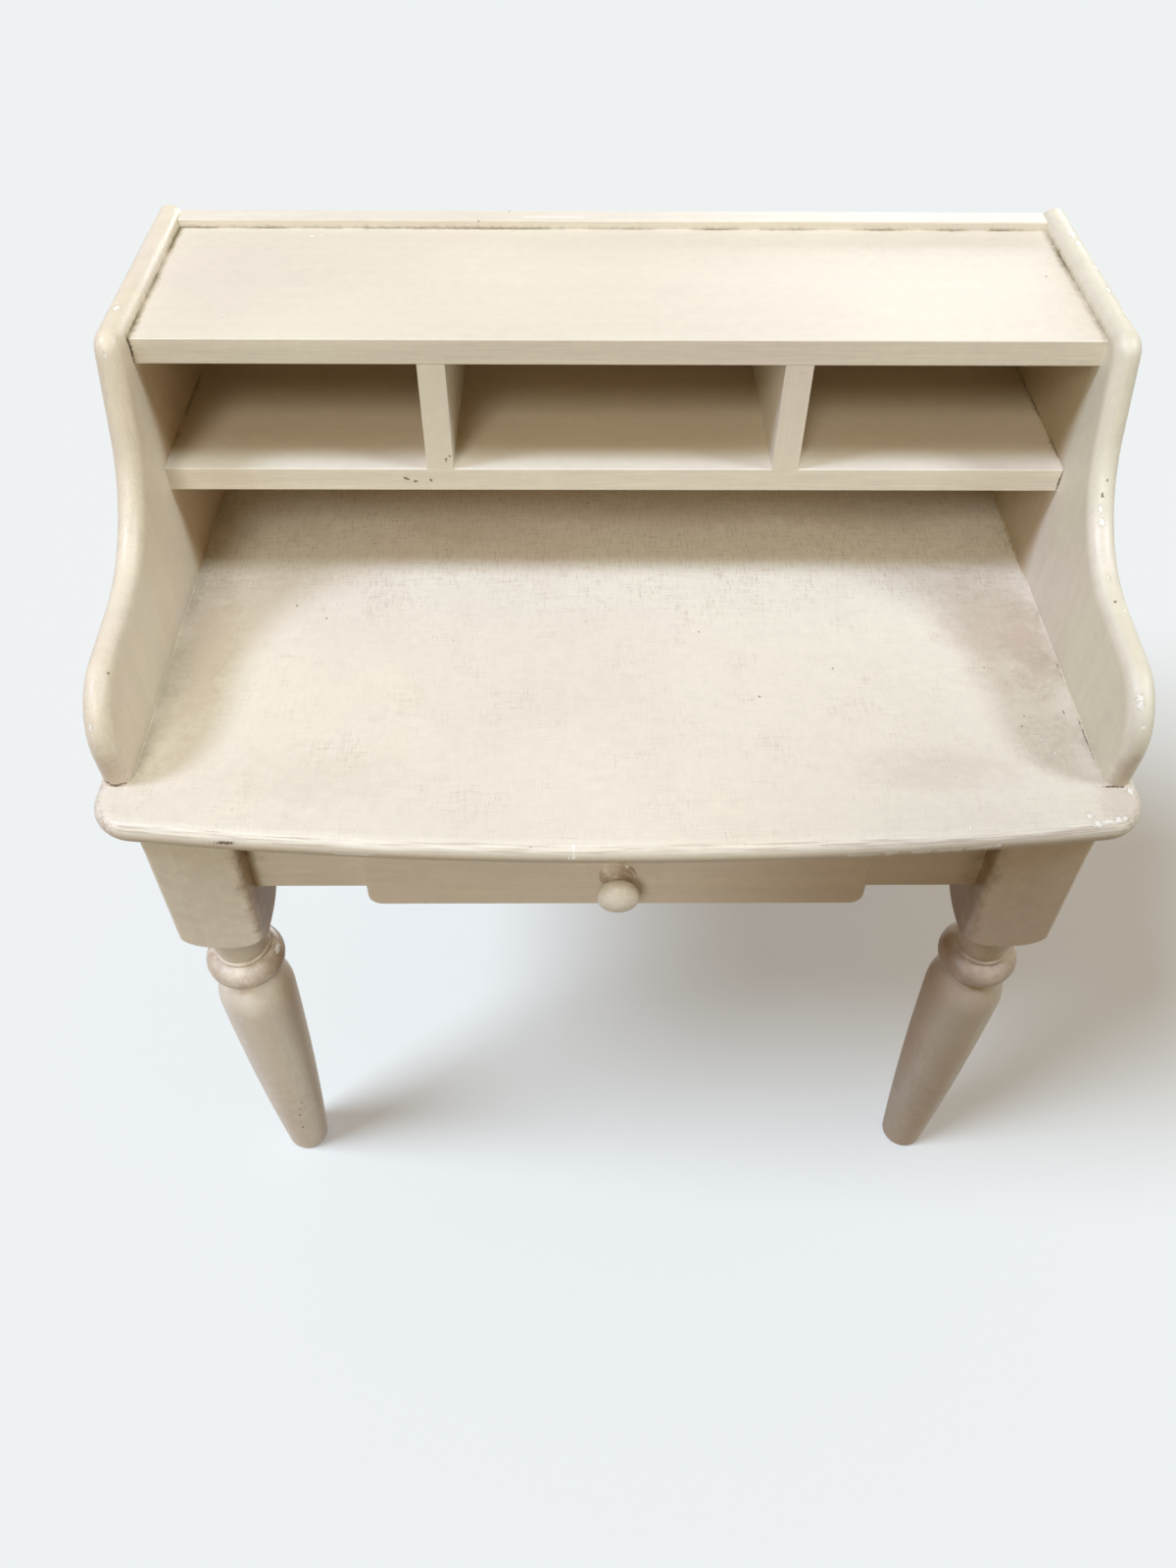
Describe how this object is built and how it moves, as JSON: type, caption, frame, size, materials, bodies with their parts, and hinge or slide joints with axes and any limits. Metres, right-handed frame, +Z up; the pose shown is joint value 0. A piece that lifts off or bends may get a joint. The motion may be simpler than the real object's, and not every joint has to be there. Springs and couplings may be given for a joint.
{
  "type": "bonheur du jour",
  "caption": "Small painted writing desk: bow-fronted top on turned tapered legs, one drawer with a round knob, and a gallery of pigeonholes between shaped side panels.",
  "frame": {"origin": "on the floor under the middle of the desk's outline, top of the side edges and bowed front to the rear edge", "axes": "+X to the right of someone sitting at the desk, +Y from the drawer front to the back, +Z up"},
  "size_m": [1.029, 0.6679, 1.067],
  "materials": {
    "cream_paint": "satin cream paint brushed over wood, worn at the edges",
    "bare_softwood": "bare planed softwood",
    "steel": "plain steel, slightly dulled"
  },
  "bodies": {
    "desk": {"block_screws": "steel", "divider_dowels": "bare_softwood", "divider_left": "cream_paint", "divider_right": "cream_paint", "drawer_guide_left": "bare_softwood", "drawer_guide_right": "bare_softwood", "drawer_kicker_left": "bare_softwood", "drawer_kicker_right": "bare_softwood", "drawer_rail_bottom": "bare_softwood", "drawer_rail_top": "bare_softwood", "drawer_runner_left": "bare_softwood", "drawer_runner_right": "bare_softwood", "front_apron_left": "cream_paint", "front_apron_right": "cream_paint", "gallery_back": "cream_paint", "gallery_screws": "steel", "gallery_side_left": "cream_paint", "gallery_side_right": "cream_paint", "glue_block_front_left": "bare_softwood", "glue_block_front_right": "bare_softwood", "glue_block_rear_left": "bare_softwood", "glue_block_rear_right": "bare_softwood", "glue_block_side_left": "bare_softwood", "glue_block_side_right": "bare_softwood", "leg_front_left": "cream_paint", "leg_front_right": "cream_paint", "leg_rear_left": "cream_paint", "leg_rear_right": "cream_paint", "lower_shelf": "cream_paint", "rear_apron": "cream_paint", "shelf_dowels": "bare_softwood", "side_apron_left": "cream_paint", "side_apron_right": "cream_paint", "top_shelf": "cream_paint", "writing_top": "cream_paint"},
    "drawer": {"drawer_back": "bare_softwood", "drawer_bottom": "bare_softwood", "drawer_dowels": "bare_softwood", "drawer_front": "cream_paint", "drawer_knob": "cream_paint", "drawer_side_left": "bare_softwood", "drawer_side_right": "bare_softwood", "knob_screw": "steel"}
  },
  "joints": [
    {"name": "drawer_slide", "type": "slide", "parent": "desk", "child": "drawer", "axis": [0, -1, 0], "range_m": [0, 0.3]}
  ]
}
